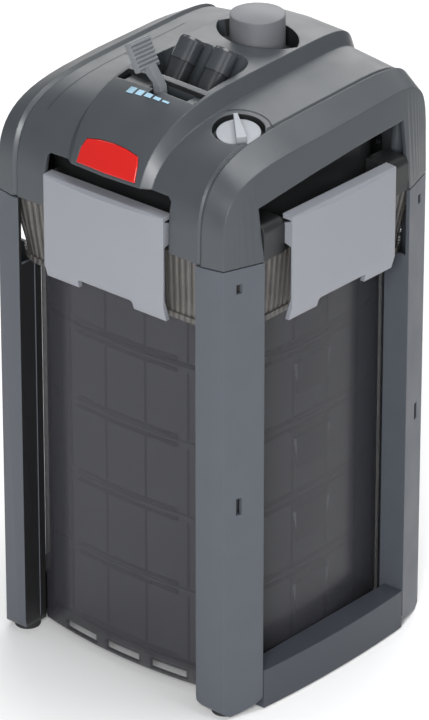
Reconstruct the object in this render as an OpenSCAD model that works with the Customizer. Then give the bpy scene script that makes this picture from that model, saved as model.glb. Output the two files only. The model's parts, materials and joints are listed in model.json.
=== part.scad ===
// Canister filter: a tall media canister in a four-legged frame, closed by a
// pump head that four sprung clips hold down. Millimetres, +Z up, origin in the
// middle of the base, front (the flow window) towards -Y.

/* [Overall] */
// Height of the split line between the head and the frame
split_z = 353; // [290:1:430]
// Width across the bowed sides of the frame
body_w = 238; // [198:1:290]
// Depth across the bowed front and back of the head
body_d = 234; // [195:1:284]
// Height of the head's crest above the split line
head_rise = 96; // [88:1:106]
// Wall of the head's cover
cover_wall = 3; // [2:0.1:4]

/* [Frame] */
// Wall of the corner legs
leg_wall = 2.6; // [2:0.1:4]
// Depth of a leg's inward flanges
leg_depth = 22; // [16:1:24]
// Half the length of each side opening, between two legs
opening_half = 78; // [70:1:80]
// Height of the two side rails
rail_h = 31.5; // [22:0.5:45]
// Thickness of the side rails, inwards
rail_depth = 20; // [12:1:21]
// Radius that rounds the legs off at the floor
leg_toe_r = 14; // [8:1:16]
// Radius of a rubber foot
foot_r = 9.5; // [6:0.5:10]

/* [Canister] */
// Gap from the frame's widest line to the canister's side
can_inset_x = 22; // [20:1:28]
// Gap from the head's deepest line to the canister's front
can_inset_y = 18; // [16:1:24]
// Corner radius of the canister
can_r = 48; // [42:1:58]
// Radius that the canister's sides bow out with
can_bow_r = 400; // [250:10:900]
// Wall of the canister
can_wall = 3; // [2.5:0.1:5]
// Height of the collar round the canister's mouth
collar_h = 51; // [40:1:60]

/* [Baskets] */
// Number of media baskets
basket_count = 4; // [4:1:4]
// Gap between a basket and the canister
basket_gap = 3; // [2:0.1:4]
// Wall of a basket
basket_wall = 2; // [1.5:0.1:3]
// Radius of the intake pipe that drops through the baskets
pipe_r = 10; // [7:0.5:11]

/* [Clips] */
// Half the width of a clip
clip_half = 55.5; // [45:0.5:58]
// Thickness of a clip's plate
clip_wall = 3.5; // [2.5:0.1:5]
// Radius of a clip's hinge pin
pin_r = 2.5; // [2:0.1:3]
// Radial clearance of the hinge pins
pin_play = 0.06; // [0.02:0.01:0.1]

/* [Head fittings] */
// Radius of a hose tail, which a hose is pushed over
tail_r = 9.6; // [7:0.1:10]
// Lean of the hose tails towards the back, in degrees
tail_lean = 40; // [30:1:45]
// Radius of the priming button
button_r = 19.7; // [16:0.1:21]
// Stroke of the priming button
button_stroke = 15; // [8:1:18]
// Radius of the flow dial
dial_r = 15.3; // [12:0.1:17]
// Width of the lever's paddle
paddle_w = 21; // [14:0.5:24]
// Radius of the mains cord that the gland takes
cord_r = 3.6; // [2.5:0.1:4.5]
// Radius of the pump's magnet
magnet_r = 12; // [9:0.5:14]

/* [Hidden] */

$fn = 96;
gap = 0.3;      // clearance between faces that must not touch
slack = 0.6;    // clearance between loosely fitted pieces
cut = 1;        // how far a cutting shape runs past what it cuts

half_w = body_w / 2;
half_d = body_d / 2;
// The frame's plan outline, one corner of it: front face, corner facet, side face
corner_x = half_w - 14.2;
corner_y = half_d - 8.2;
facet_x = corner_x - 15.9;
facet_y = half_d - 4.6;
inner_x = facet_x - 6.6;
side_x = half_w - 3.5;
leg_top = split_z - 1;
foot_x = corner_x - 9.3;
foot_y = corner_y - 12.5;
screw_x = half_w - rail_depth / 2 - 2;
screw_z = rail_h / 2 + 2;

// Canister
can_x = half_w - can_inset_x;
can_y = half_d - can_inset_y;
can_z = 7;
can_floor = 18;
collar_z = leg_top - collar_h;
lip_h = 4;

// Head
base_z = leg_top + gap;
flange_h = 4.4;
plug_h = 18;
peak_y = 30;            // where the head stands highest
rib_count = 28;         // ribs that the head's surface is lofted through
ridge_half = 38.5;      // half width of the raised ridge at its middle
ridge_front = 31;
ridge_rear = 33;
ridge_flank = 7;        // width of the steep flank beside the ridge
strip_x = corner_x - 16.8;   // inner edge of the band that frames the top
side_lean = 1.5;
side_bow = 5.7;

// Clips: a hinge line, and the face that stands outside it
hinge_in = 14;
claw_in = 10;           // how far a clip's claws stand in from its face
hinge_z = split_z + 13;
front_hinge = half_d - hinge_in;
side_hinge = half_w + 4 - hinge_in;
clip_top = split_z + 27.5;
clip_bottom = collar_z;
wall_in = 16;           // room that a clip's top needs as it swings in
arch_half = clip_half + 2;
arch_z = 41;            // height of the front arch above the split line
ear_w = 4;
ear_r = 6;

// Baskets
basket_in = can_wall + basket_gap;
basket_x = can_x - basket_in;
basket_y = can_y - basket_in;
basket_floor = can_floor + 4;
stack_h = base_z - plug_h - slack - basket_floor;
tray_h = 68;
basket_pitch = (stack_h - tray_h - 8) / basket_count;
basket_h = basket_pitch - 2;
pipe_x = can_x - can_r + 17;
pipe_y = can_y - can_r + 17;
pipe_hole = pipe_r + 2.5;

// Pump: it hangs in the left of the head, clear of the priming pump
pump_r = 29;
pump_x = -(side_hinge - wall_in - pump_r - 7);
pump_y = 22;
well_r = magnet_r + 1;
shaft_r = 2;

// Priming pump
button_y = 48;
button_top = split_z + head_rise + 15;
barrel_r = 18;
piston_r = 15.5;
recess_half = 36.5;     // half length of the finger recess round the button
recess_half_d = 22.8;
recess_floor = split_z + head_rise - 14;

// Flow dial
dial_x = strip_x - 19;
dial_y = -52;
dial_z = split_z + 75.4;
dial_lean = [9.5, 7, 0];
dial_recess = dial_r + 3;
dial_rest = 50;         // how far the fin is turned from straight ahead

// Shut-off lever
lever_y = -54;
lever_z = split_z + 72;
slot_half = 35.5;
slot_half_d = 6;
lever_shaft_r = 3;

// Hose adapter, in its bay behind the lever
tail_x = 15.5;
tail_y = -22;
tail_z = split_z + 80;
socket_y = tail_y - 3;
bay_half = 33;
bay_front = -43;
bay_rear = -13;
bay_floor = split_z + 70;
trough_r = 17;
neck_r = tail_r - 0.6;
neck_len = 13;
tail_len = 17.5;
socket_r = 7;

// ---------------------------------------------------------------- outlines

module rounded(hx, hy, r) {
    square([2 * (hx - r), 2 * hy], center = true);
    square([2 * hx, 2 * (hy - r)], center = true);
    for (sx = [-1, 1])
        for (sy = [-1, 1])
            translate([sx * (hx - r), sy * (hy - r)]) circle(r);
}

module ring2d(hx, hy, r, wall) {
    difference() {
        rounded(hx, hy, r);
        rounded(hx - wall, hy - wall, max(r - wall, 1));
    }
}

module slab(hx, hy, r, z, h) {
    translate([0, 0, z]) linear_extrude(h) rounded(hx, hy, r);
}

// Extrudes a drawing of the YZ plane along X
module along_x(half) {
    rotate([90, 0, 90]) translate([0, 0, -half]) linear_extrude(2 * half) children();
}

// Extrudes a drawing of the XZ plane along Y, from y0 to y1
module along_y(y0, y1) {
    translate([0, y1, 0]) rotate([90, 0, 0]) linear_extrude(y1 - y0) children();
}

module along_y_at(x, z, y0, y1) {
    translate([x, 0, z]) along_y(y0, y1) children();
}

// The canister's plan, inset by the given amount: rounded, with bowed sides
module can_plan(inset) {
    intersection() {
        rounded(can_x + 2 - inset, can_y + 2 - inset, can_r - inset);
        for_bow(can_x) circle(can_bow_r - inset, $fn = 360);
        mirror([1, 0, 0]) for_bow(can_x) circle(can_bow_r - inset, $fn = 360);
        rotate([0, 0, 90]) for_bow(can_y) circle(can_bow_r - inset, $fn = 360);
        rotate([0, 0, -90]) for_bow(can_y) circle(can_bow_r - inset, $fn = 360);
    }
}

module for_bow(reach) {
    translate([reach - can_bow_r, 0]) children();
}

module can_slab(inset, z, h) {
    translate([0, 0, z]) linear_extrude(h) can_plan(inset);
}

module can_ring(outer, inner) {
    difference() {
        can_plan(outer);
        can_plan(inner);
    }
}

// Turns what is made for the front to one of the four sides
module on_side(side) {
    rotate([0, 0, 90 * side]) children();
}

function mix(a, b, k) = a + (b - a) * k;

// Half width of the frame's plan at depth y
function plan_x(y) = abs(y) <= opening_half
    ? half_w - (half_w - side_x) * pow(y / opening_half, 2)
    : mix(side_x, corner_x, (abs(y) - opening_half) / (corner_y - opening_half));

// ------------------------------------------------------------------- frame

// One leg, front right: a channel folded round the frame's corner
module leg_outline() {
    w = leg_wall;
    polygon([
        [inner_x, -facet_y + leg_depth], [inner_x, -facet_y], [facet_x, -facet_y],
        [corner_x, -corner_y], [side_x, -opening_half], [side_x - leg_depth, -opening_half],
        [side_x - leg_depth, -opening_half - w], [side_x - 1.25 * w, -opening_half - w],
        [corner_x - 0.9 * w, -corner_y + 1.1 * w], [facet_x, -facet_y + w],
        [inner_x + w, -facet_y + w], [inner_x + w, -facet_y + leg_depth]
    ]);
}

module leg_bead() {
    translate([inner_x - 0.8, -facet_y + 0.7 * leg_depth]) square([1, 1.2]);
}

// Outline of a leg seen from one side, rounded off at the floor
module toe_profile(from, to) {
    translate([(from + to) / 2, leg_top + 1]) rounded((to - from) / 2, leg_top, leg_toe_r);
}

// Room inside the folded leg, from which its flanges are cut at the collar
module leg_room() {
    w = leg_wall;
    polygon([
        [inner_x - 2, -facet_y + w], [facet_x, -facet_y + w], [corner_x - 0.9 * w, -corner_y + 1.1 * w],
        [side_x - 1.25 * w, -opening_half - w], [side_x - 1.25 * w, -opening_half + 1],
        [inner_x - 2, -opening_half + 1]
    ]);
}

module leg() {
    web_z = 5;
    color([0.36, 0.38, 0.42])
    intersection() {
        difference() {
            union() {
                translate([0, 0, 1]) linear_extrude(leg_top - 1) {
                    leg_outline();
                    leg_bead();
                }
                // Web across the channel, which carries the rubber foot
                translate([0, 0, web_z]) linear_extrude(leg_wall) polygon([
                    [inner_x, -facet_y + leg_depth], [inner_x + 1, -facet_y + 1], [facet_x, -facet_y + 1],
                    [corner_x - 1, -corner_y + 1], [side_x - 1, -opening_half - 1],
                    [side_x - leg_depth, -opening_half - 1]
                ]);
            }
            // Snap windows in the side face, small at the top and tall below
            for (snap = [[leg_top - 15, 7], [leg_top * 0.48, 13]])
                translate([side_x, -corner_y + 12, snap[0]])
                    cube([3 * leg_depth / 2, 4.5, snap[1]], center = true);
            translate([foot_x, -foot_y, 0]) cylinder(r = 3, h = 3 * web_z, $fn = 32);
            rail_screw_hole();
            translate([0, 0, collar_z - 1]) linear_extrude(collar_h + 3) leg_room();
        }
        along_x(half_w) toe_profile(-facet_y, 0);
        along_y(-half_d, half_d) toe_profile(inner_x - 0.8, side_x + 0.5);
    }
}

module leg_at(sx, sy) {
    mirror([sx < 0 ? 1 : 0, 0, 0]) mirror([0, sy > 0 ? 1 : 0, 0]) leg();
}

module leg_front_left() { leg_at(-1, -1); }
module leg_front_right() { leg_at(1, -1); }
module leg_rear_left() { leg_at(-1, 1); }
module leg_rear_right() { leg_at(1, 1); }

// Bowed outline of a side rail, between y = -length/2 and length/2
module rail_outline(inset) {
    steps = 10;
    end = opening_half - 0.8 - inset;
    ys = [for (i = [0:steps]) mix(-end, end, i / steps)];
    polygon(concat(
        [for (y = ys) [plan_x(y) - inset, y]],
        [[half_w - rail_depth + inset, end], [half_w - rail_depth + inset, -end]]));
}

module rail() {
    color([0.38, 0.4, 0.44])
    difference() {
        translate([0, 0, 1]) linear_extrude(rail_h - 1) rail_outline(0);
        translate([0, 0, -cut]) linear_extrude(rail_h - 3 + cut) rail_outline(3);
        for (m = [0, 1]) mirror([0, m, 0]) rail_screw_hole();
    }
}

module rail_right() { rail(); }
module rail_left() { mirror([1, 0, 0]) rail(); }

module rubber_feet() {
    color([0.12, 0.12, 0.13])
    for (sx = [-1, 1]) for (sy = [-1, 1])
        translate([sx * foot_x, sy * foot_y, 0]) {
            cylinder(r = foot_r, h = 5);
            cylinder(r = 2.9, h = 10);
            translate([0, 0, 5 + leg_wall]) cylinder(r = 4.2, h = 2.4);
        }
}

module rail_screw_hole() {
    translate([screw_x, -opening_half + 10, screw_z]) rotate([90, 0, 0])
        cylinder(r = 1.8, h = 20, $fn = 32);
}

// Screws through the legs' flanges into the rails' ends
module rail_screws() {
    color([0.6, 0.6, 0.62])
    for (sx = [-1, 1]) for (sy = [-1, 1])
        translate([sx * screw_x, sy * (opening_half + leg_wall), screw_z]) rotate([sy * 90, 0, 0]) {
            cylinder(r = 1.6, h = 12, $fn = 32);
            translate([0, 0, -2.2]) cylinder(r = 3.2, h = 2.2, $fn = 32);
        }
}

// ---------------------------------------------------------------- canister

module canister() {
    skirt_pitch = 42;
    window_h = 7;
    color([0.24, 0.24, 0.26, 0.6])
    difference() {
        can_slab(0, can_z, leg_top - can_z);
        can_slab(can_wall, can_floor + can_wall, leg_top);
        can_slab(can_wall, -cut, can_floor + cut);
        // Windows through the skirt below the floor
        for (i = [-1, 0, 1]) translate([i * skirt_pitch, 0, can_z + 3])
            translate([-16, -half_d, 0]) cube([32, body_d, window_h]);
        for (i = [-1, 0, 1]) translate([0, i * skirt_pitch, can_z + 3])
            translate([-half_w, -16, 0]) cube([body_w, 32, window_h]);
    }
}

// Hollow collar round the mouth, wider at the top, with the lip the clips hold
module canister_collar() {
    top_x = side_x - 1.25 * leg_wall - gap;
    top_y = half_d - claw_in - slack;
    top_r = 28;
    low_r = 38;
    low_x = top_x - 7;
    low_y = top_y - 4;
    wall = 2.5;
    z0 = collar_z + lip_h;
    color([0.62, 0.62, 0.63, 0.7]) {
        difference() {
            hull() {
                slab(low_x, low_y, low_r, z0, 0.01, $fn = 32);
                slab(top_x, top_y, top_r, leg_top - 0.01, 0.01, $fn = 32);
            }
            hull() {
                slab(low_x - wall, low_y - wall, low_r - wall, z0 - 0.1, 0.01, $fn = 32);
                slab(top_x - wall, top_y - wall, top_r - wall, leg_top + 0.1, 0.01, $fn = 32);
            }
        }
        difference() {
            slab(top_x - wall + 0.4, top_y - wall + 0.4, top_r - wall, leg_top - 4, 4);
            can_slab(0, collar_z, leg_top);
        }
        difference() {
            slab(low_x + 1.5, low_y + 1.5, low_r, collar_z, lip_h + 0.2);
            can_slab(0, collar_z - cut, collar_h);
        }
    }
}

// ----------------------------------------------------------------- baskets

// Basket with a barred floor, a sleeve for the pipe and a rim
module basket(z, h) {
    bar = 12;
    rows = floor(basket_y / bar);
    color([0.2, 0.22, 0.25])
    difference() {
        union() {
            difference() {
                can_slab(basket_in, z, h);
                can_slab(basket_in + basket_wall, z + 2.5, h);
            }
            translate([pipe_x, pipe_y, z]) cylinder(r = pipe_hole + 2, h = h);
        }
        translate([pipe_x, pipe_y, z - cut]) cylinder(r = pipe_hole, h = h + 2 * cut);
        for (i = [-(rows - 2):(rows - 2)])
            translate([-28, i * bar - 3, z - cut]) cube([50, 6, 2.5 + 2 * cut]);
        // Finger holds in two sides
        translate([-half_w, -18, z + h - 14]) cube([body_w, 36, 8]);
    }
}

function basket_at(i) = basket_floor + i * basket_pitch;
tray_z = basket_at(basket_count) + 2;

module basket_1() { basket(basket_at(0), basket_h); }
module basket_2() { basket(basket_at(1), basket_h); }
module basket_3() { basket(basket_at(2), basket_h); }
module basket_4() { basket(basket_at(3), basket_h); }
module prefilter_tray() { basket(tray_z, tray_h); }

// A block of media cut to lie inside a basket, round the pipe's sleeve
module pad(z, h, tint) {
    color(tint)
    difference() {
        can_slab(basket_in + basket_wall + slack, z, h);
        translate([pipe_x, pipe_y, z - cut]) cylinder(r = pipe_hole + 2 + slack, h = h + 2 * cut);
    }
}

module coarse_foam() { pad(basket_at(1) + 3, basket_h - 18, [0.2, 0.3, 0.5]); }
module fine_foam() { pad(basket_at(2) + 3, basket_h - 18, [0.85, 0.85, 0.8]); }
module fleece_pad() { pad(basket_at(3) + 3, basket_h - 30, [0.95, 0.95, 0.95]); }
module prefilter_foam() { pad(tray_z + 3, tray_h - 20, [0.15, 0.35, 0.6]); }

// Ceramic tubes standing in the lowest basket
module ceramic_tubes() {
    pitch = 17;
    color([0.9, 0.88, 0.84])
    for (layer = [0, 1]) for (ix = [-4:4]) for (iy = [-4:4])
        if (pow(ix * pitch, 2) + pow(iy * pitch, 2) < pow(basket_x - 12, 2)
            && norm([ix * pitch - pipe_x, iy * pitch - pipe_y]) > pipe_hole + 11)
            translate([ix * pitch, iy * pitch, basket_at(0) + 2.5 + gap + layer * 17.5])
                difference() {
                    cylinder(r = 7, h = 16, $fn = 24);
                    translate([0, 0, -cut]) cylinder(r = 3.5, h = 18, $fn = 24);
                }
}

// Pipe that takes the raw water from the head to the canister's floor
module intake_pipe() {
    top = base_z - plug_h;
    color([0.15, 0.15, 0.16])
    translate([pipe_x, pipe_y, 0])
    difference() {
        union() {
            translate([0, 0, can_floor + 8]) cylinder(r = pipe_r, h = top - can_floor - 8);
            translate([0, 0, top - 3]) cylinder(r = pipe_r + 3, h = 3);
        }
        translate([0, 0, can_floor]) cylinder(r = pipe_r - 1.8, h = top);
    }
}

module pipe_seal() {
    color([0.1, 0.1, 0.1])
    translate([pipe_x, pipe_y, base_z - plug_h - 3 - 2.4])
    difference() {
        cylinder(r = pipe_r + 2.2, h = 2.4);
        translate([0, 0, -cut]) cylinder(r = pipe_r, h = 5);
    }
}

// -------------------------------------------------------------------- head

// A point on one of the lengthwise lines of the head: [y, z] at angle t, from
// 0 at the front foot over the top to 180 at the back foot
function line_y(t, depth, power) =
    -sign(cos(t)) * depth * pow(abs(cos(t)), 2 / (t <= 90 ? power : 7));
function line_lift(t, power) = pow(max(sin(t), 0), 2 / (t <= 90 ? power : 7));
function head_line(t, x, depth, rise, power, tilt) =
    let (y = line_y(t, depth, power))
    [x, y, split_z + line_lift(t, power) * (rise - tilt * (peak_y - y))];

function ridge_x(t) = ridge_half
    - (ridge_half - (t <= 90 ? ridge_front : ridge_rear)) * pow(cos(t), 2);

// One rib of the right half, inset by the wall: crest, ridge edge, foot of the
// flank, end of the slope, groove, framing band, outer crease
function half_rib(t, inset) =
    let (outer = head_line(t, 0, corner_y - inset, head_rise - 25 - inset, 4, 0.045),
         bow = side_bow * (1 - pow(outer[1] / corner_y, 2)))
    [
        head_line(t, 0, half_d - inset, head_rise - inset, 3.1, 0.035),
        head_line(t, ridge_x(t) - inset, half_d - 1.5 - inset, head_rise - 1 - inset, 3.1, 0.035),
        head_line(t, ridge_x(t) + ridge_flank - inset, half_d - 5.5 - inset,
            head_rise - 11 - inset, 3.4, 0.05),
        head_line(t, strip_x - 4.5 - inset, facet_y - 0.8 - inset, head_rise - 15.8 - inset, 3.8, 0.04),
        head_line(t, strip_x - 3 - inset, facet_y - 2 - inset, head_rise - 17.2 - inset, 3.8, 0.04),
        head_line(t, strip_x - inset, facet_y - inset, head_rise - 15 - inset, 3.8, 0.04),
        [corner_x + bow - side_lean * line_lift(t, 4) - inset, outer[1], outer[2]]
    ];

// Whole rib, from the left crease to the right one
function whole_rib(t, inset) =
    let (half = half_rib(t, inset))
    concat([for (i = [6:-1:1]) [-half[i][0], half[i][1], half[i][2]]], half);

// The head's outer form, or with an inset the hollow inside its wall
module head_form(inset = 0, drop = 0) {
    n = rib_count;
    w = 13;
    last = w - 1;
    ribs = [for (i = [0:n]) whole_rib(180 * i / n, inset)];
    low = split_z - drop;
    rows = [for (i = [0:n]) for (p = ribs[i]) i == 0 || i == n ? [p[0], p[1], low] : p];
    right = [for (i = [1:n - 1]) [plan_x(ribs[i][last][1]) - inset, ribs[i][last][1], low]];
    left = [for (p = right) [-p[0], p[1], p[2]]];
    r0 = (n + 1) * w;
    l0 = r0 + n - 1;
    top_faces = [for (i = [0:n - 1]) for (j = [0:w - 2]) for (half = [0, 1]) half == 0
        ? [i * w + j, (i + 1) * w + j, i * w + j + 1]
        : [i * w + j + 1, (i + 1) * w + j, (i + 1) * w + j + 1]];
    right_walls = [for (i = [1:n - 2]) for (half = [0, 1]) half == 0
        ? [i * w + last, (i + 1) * w + last, r0 + i - 1]
        : [r0 + i - 1, (i + 1) * w + last, r0 + i]];
    left_walls = [for (i = [1:n - 2]) for (half = [0, 1]) half == 0
        ? [i * w, l0 + i - 1, (i + 1) * w]
        : [l0 + i - 1, l0 + i, (i + 1) * w]];
    ends = [
        [last, w + last, r0], [(n - 1) * w + last, n * w + last, r0 + n - 2],
        [0, l0, w], [(n - 1) * w, l0 + n - 2, n * w]
    ];
    floor_face = concat(
        [for (j = [0:last]) j], [for (i = [0:n - 2]) r0 + i],
        [for (j = [last:-1:0]) n * w + j], [for (i = [n - 2:-1:0]) l0 + i]);
    polyhedron(concat(rows, right, left),
        concat(top_faces, right_walls, left_walls, ends, [floor_face]), convexity = 8);
}

// Opening over a side clip, higher at the back
module side_arch() {
    steps = 8;
    low = arch_z - 3;
    high = arch_z + 10;
    top = [for (i = [0:steps]) let (k = i / steps)
        [mix(-opening_half, opening_half, k), split_z + mix(low, high, k) + 14 * k * (1 - k)]];
    along_x(half_w + cut)
        polygon(concat([[opening_half, split_z - cut], [-opening_half, split_z - cut]], top));
}

module front_arch() {
    along_y(-half_d - cut, half_d + cut)
        polygon([[-arch_half, split_z - cut], [arch_half, split_z - cut],
            [arch_half, split_z + arch_z - 3], [arch_half - 3, split_z + arch_z],
            [-arch_half + 3, split_z + arch_z], [-arch_half, split_z + arch_z - 3]]);
}

// Lens-shaped recess that lets a finger and thumb reach the button
module finger_lens(grow) {
    a = recess_half + grow;
    b = recess_half_d + grow;
    r = (a * a + b * b) / (2 * b);
    translate([0, button_y]) intersection() {
        translate([0, r - b]) circle(r);
        translate([0, b - r]) circle(r);
    }
}

module tail_axis(side) {
    translate([side * tail_x, tail_y, tail_z]) rotate([-tail_lean, 0, 0]) children();
}

module dial_axis() {
    translate([dial_x, dial_y, dial_z]) rotate(dial_lean) children();
}

module window_outline(grow) {
    low = split_z + arch_z + 2.4;
    polygon([for (p = [[-27, low], [27, low], [26, low + 11], [23.5, low + 16.5],
        [12, low + 18.6], [0, low + 19.4], [-12, low + 18.6], [-23.5, low + 16.5], [-26, low + 11]])
        [p[0] + sign(p[0]) * grow, p[1] + (p[1] > low + 5 ? grow : -grow)]]);
}

module head_cover() {
    bay_wall = 2.5;
    color([0.36, 0.38, 0.39])
    difference() {
        union() {
            difference() {
                head_form(0, cut);
                head_form(cover_wall, 2 * cut);
            }
            // Solid places that the pockets are sunk into
            intersection() {
                head_form(0.4);
                union() {
                    translate([0, 0, recess_floor - bay_wall]) linear_extrude(40)
                        finger_lens(bay_wall);
                    translate([-bay_half - bay_wall, bay_front - bay_wall, bay_floor - 2 * bay_wall])
                        cube([2 * (bay_half + bay_wall), 38 - bay_front, 60]);
                    for (p = head_screw_places()) translate([p[0], p[1], base_z + flange_h])
                        cylinder(r = 4.5, h = head_rise);
                    dial_axis() translate([0, 0, -10]) cylinder(r = dial_recess + 2, h = 20);
                }
            }
        }
        // Trimmed level at the split line
        translate([-half_w - cut, -half_d - cut, split_z - 5 * cut])
            cube([body_w + 2 * cut, body_d + 2 * cut, 5 * cut]);
        for (side = [0, 1]) mirror([side, 0, 0])
            intersection() {
                side_arch();
                translate([side_hinge - wall_in, -half_d, 0]) cube([60, body_d, 2 * split_z]);
            }
        for (side = [0, 1]) mirror([0, side, 0])
            intersection() {
                front_arch();
                translate([-half_w, -half_d - cut, 0])
                    cube([body_w, half_d - front_hinge + wall_in + cut, 2 * split_z]);
            }
        // Finger recess and the button's bore
        translate([0, 0, recess_floor]) linear_extrude(60) finger_lens(0);
        translate([0, button_y, recess_floor - 20]) cylinder(r = button_r + 0.5, h = 60);
        // Adapter bay, two troughs behind it, and the hole for the adapter's body
        translate([-bay_half, bay_front, bay_floor]) cube([2 * bay_half, bay_rear - bay_front, 60]);
        for (side = [-1, 1]) tail_axis(side) translate([0, 0, -4]) cylinder(r = trough_r, h = 70);
        translate([-25, -37, bay_floor - 20]) cube([50, 24, 30]);
        // Lever slot with its small notch
        translate([-slot_half, lever_y - slot_half_d, lever_z]) cube([2 * slot_half, 2 * slot_half_d, 60]);
        translate([-2, lever_y - slot_half_d - 5, lever_z]) cube([8, 6, 60]);
        // Way for the lever's shaft and its cam, and the screws' holes
        along_y_at(0, lever_z, bay_front - 6, bay_front + 4) circle(lever_shaft_r + 0.5);
        along_y_at(0, lever_z, bay_front - 0.2, bay_front + 3) circle(10.2);
        for (p = head_screw_places()) translate([p[0], p[1], base_z])
            cylinder(r = 2, h = 20, $fn = 32);
        // Dial recess and its spindle's bore
        dial_axis() translate([0, 0, -6.5]) cylinder(r = dial_recess, h = 30);
        dial_axis() translate([0, 0, -20]) cylinder(r = 4.06, h = 30);
        // Flow window, and the gland's hole at the back
        along_y(-half_d - cut, -half_d / 2) window_outline(0.15);
        translate([gland_x, half_d + cut, gland_z]) rotate([90, 0, 0]) cylinder(r = 8, h = 40);
    }
}

gland_x = -78;
gland_z = split_z + 22;

// Pivot lug beside a clip, with the pin's bore along X; made for the front side
module lug(hinge, x0, x1, reach, top) {
    r = 6;
    inner = hinge - wall_in;
    difference() {
        translate([x0, 0, 0]) rotate([90, 0, 90]) linear_extrude(x1 - x0) {
            translate([-hinge - reach, base_z]) square([hinge + reach - inner, top - r - base_z]);
            translate([-hinge - reach + r, top - 2 * r]) square([hinge + reach - inner - r, 2 * r]);
            translate([-hinge - reach + r, top - r]) circle(r);
        }
        translate([x0 - cut, -hinge, hinge_z]) rotate([0, 90, 0])
            cylinder(r = pin_r + pin_play, h = x1 - x0 + 2 * cut);
    }
}

// The moulded plate that plugs the canister, with the wall behind the clips,
// the clips' lugs and the well of the pump
module head_base() {
    wall_x = side_hinge - wall_in;
    wall_y = front_hinge - wall_in;
    flange_x = side_x - cover_wall - 1.5;
    flange_y = corner_y - cover_wall - 1;
    color([0.2, 0.21, 0.22])
    difference() {
        union() {
            slab(flange_x, flange_y, 34, base_z, flange_h);
            difference() {
                can_slab(can_wall + slack, base_z - plug_h, plug_h + 1);
                can_slab(can_wall + 8, base_z - plug_h - cut, plug_h - 2);
            }
            // Wall behind the clips
            translate([0, 0, base_z]) linear_extrude(arch_z + 16) ring2d(wall_x, wall_y, 40, 2.5);
            for (side = [0, 180]) rotate([0, 0, side]) {
                for (m = [0, 1]) mirror([m, 0, 0]) {
                    lug(front_hinge, clip_half + 0.5, clip_half + 10, 4.4, hinge_z + 7);
                }
                rotate([0, 0, 90]) for (m = [0, 1]) mirror([m, 0, 0])
                    lug(side_hinge, clip_half + 0.5, opening_half - 0.6, 5.2, hinge_z + 12);
            }
            // Boss for the intake pipe, pump well and priming pump's seat
            translate([pipe_x, pipe_y, base_z - plug_h]) cylinder(r = pipe_r + 5, h = plug_h);
            translate([pump_x, pump_y, base_z - plug_h]) cylinder(r = well_r + 2, h = plug_h + 34);
            translate([pump_x, pump_y, base_z - plug_h]) cylinder(r = pump_r - 3, h = plug_h);
            translate([0, button_y, base_z]) cylinder(r = barrel_r + 2, h = 8);
            for (s = [-1, 1]) translate([s * tail_x, socket_y, base_z]) cylinder(r = socket_r + 3, h = 24);
        }
        for (s = [-1, 1]) translate([s * tail_x, socket_y, base_z + flange_h])
            cylinder(r = socket_r + gap, h = 24);
        // Groove for the sealing ring
        translate([0, 0, base_z - 12]) linear_extrude(5) can_ring(can_wall - 1, can_wall + 4.6);
        translate([pipe_x, pipe_y, base_z - plug_h - cut]) cylinder(r = pipe_r, h = plug_h - 2);
        translate([pump_x, pump_y, base_z - plug_h - cut]) cylinder(r = well_r, h = plug_h + 33);
        translate([0, button_y, base_z + 2]) cylinder(r = barrel_r, h = 20);
        for (p = head_screw_places()) translate([p[0], p[1], base_z - cut]) {
            cylinder(r = 2.2, h = flange_h + 2 * cut, $fn = 32);
            cylinder(r = 3.9, h = 2.8 + cut, $fn = 32);
        }
    }
}

function head_screw_places() = [for (sx = [-1, 1]) for (sy = [-1, 1])
    [sx * (side_hinge - 14), sy * (front_hinge - 15)]];

// Screws that draw the cover down on the base, sunk into its flange
module head_screws() {
    color([0.6, 0.6, 0.62])
    for (p = head_screw_places()) translate([p[0], p[1], base_z + 0.3]) {
        cylinder(r = 1.9, h = 16, $fn = 32);
        cylinder(r = 3.6, h = 2.4, $fn = 32);
    }
}

module head_seal() {
    color([0.08, 0.08, 0.08])
    translate([0, 0, base_z - 11.8]) linear_extrude(4.6)
        can_ring(can_wall + gap, can_wall + gap + 4);
}

// ------------------------------------------------------------------- clips

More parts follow.
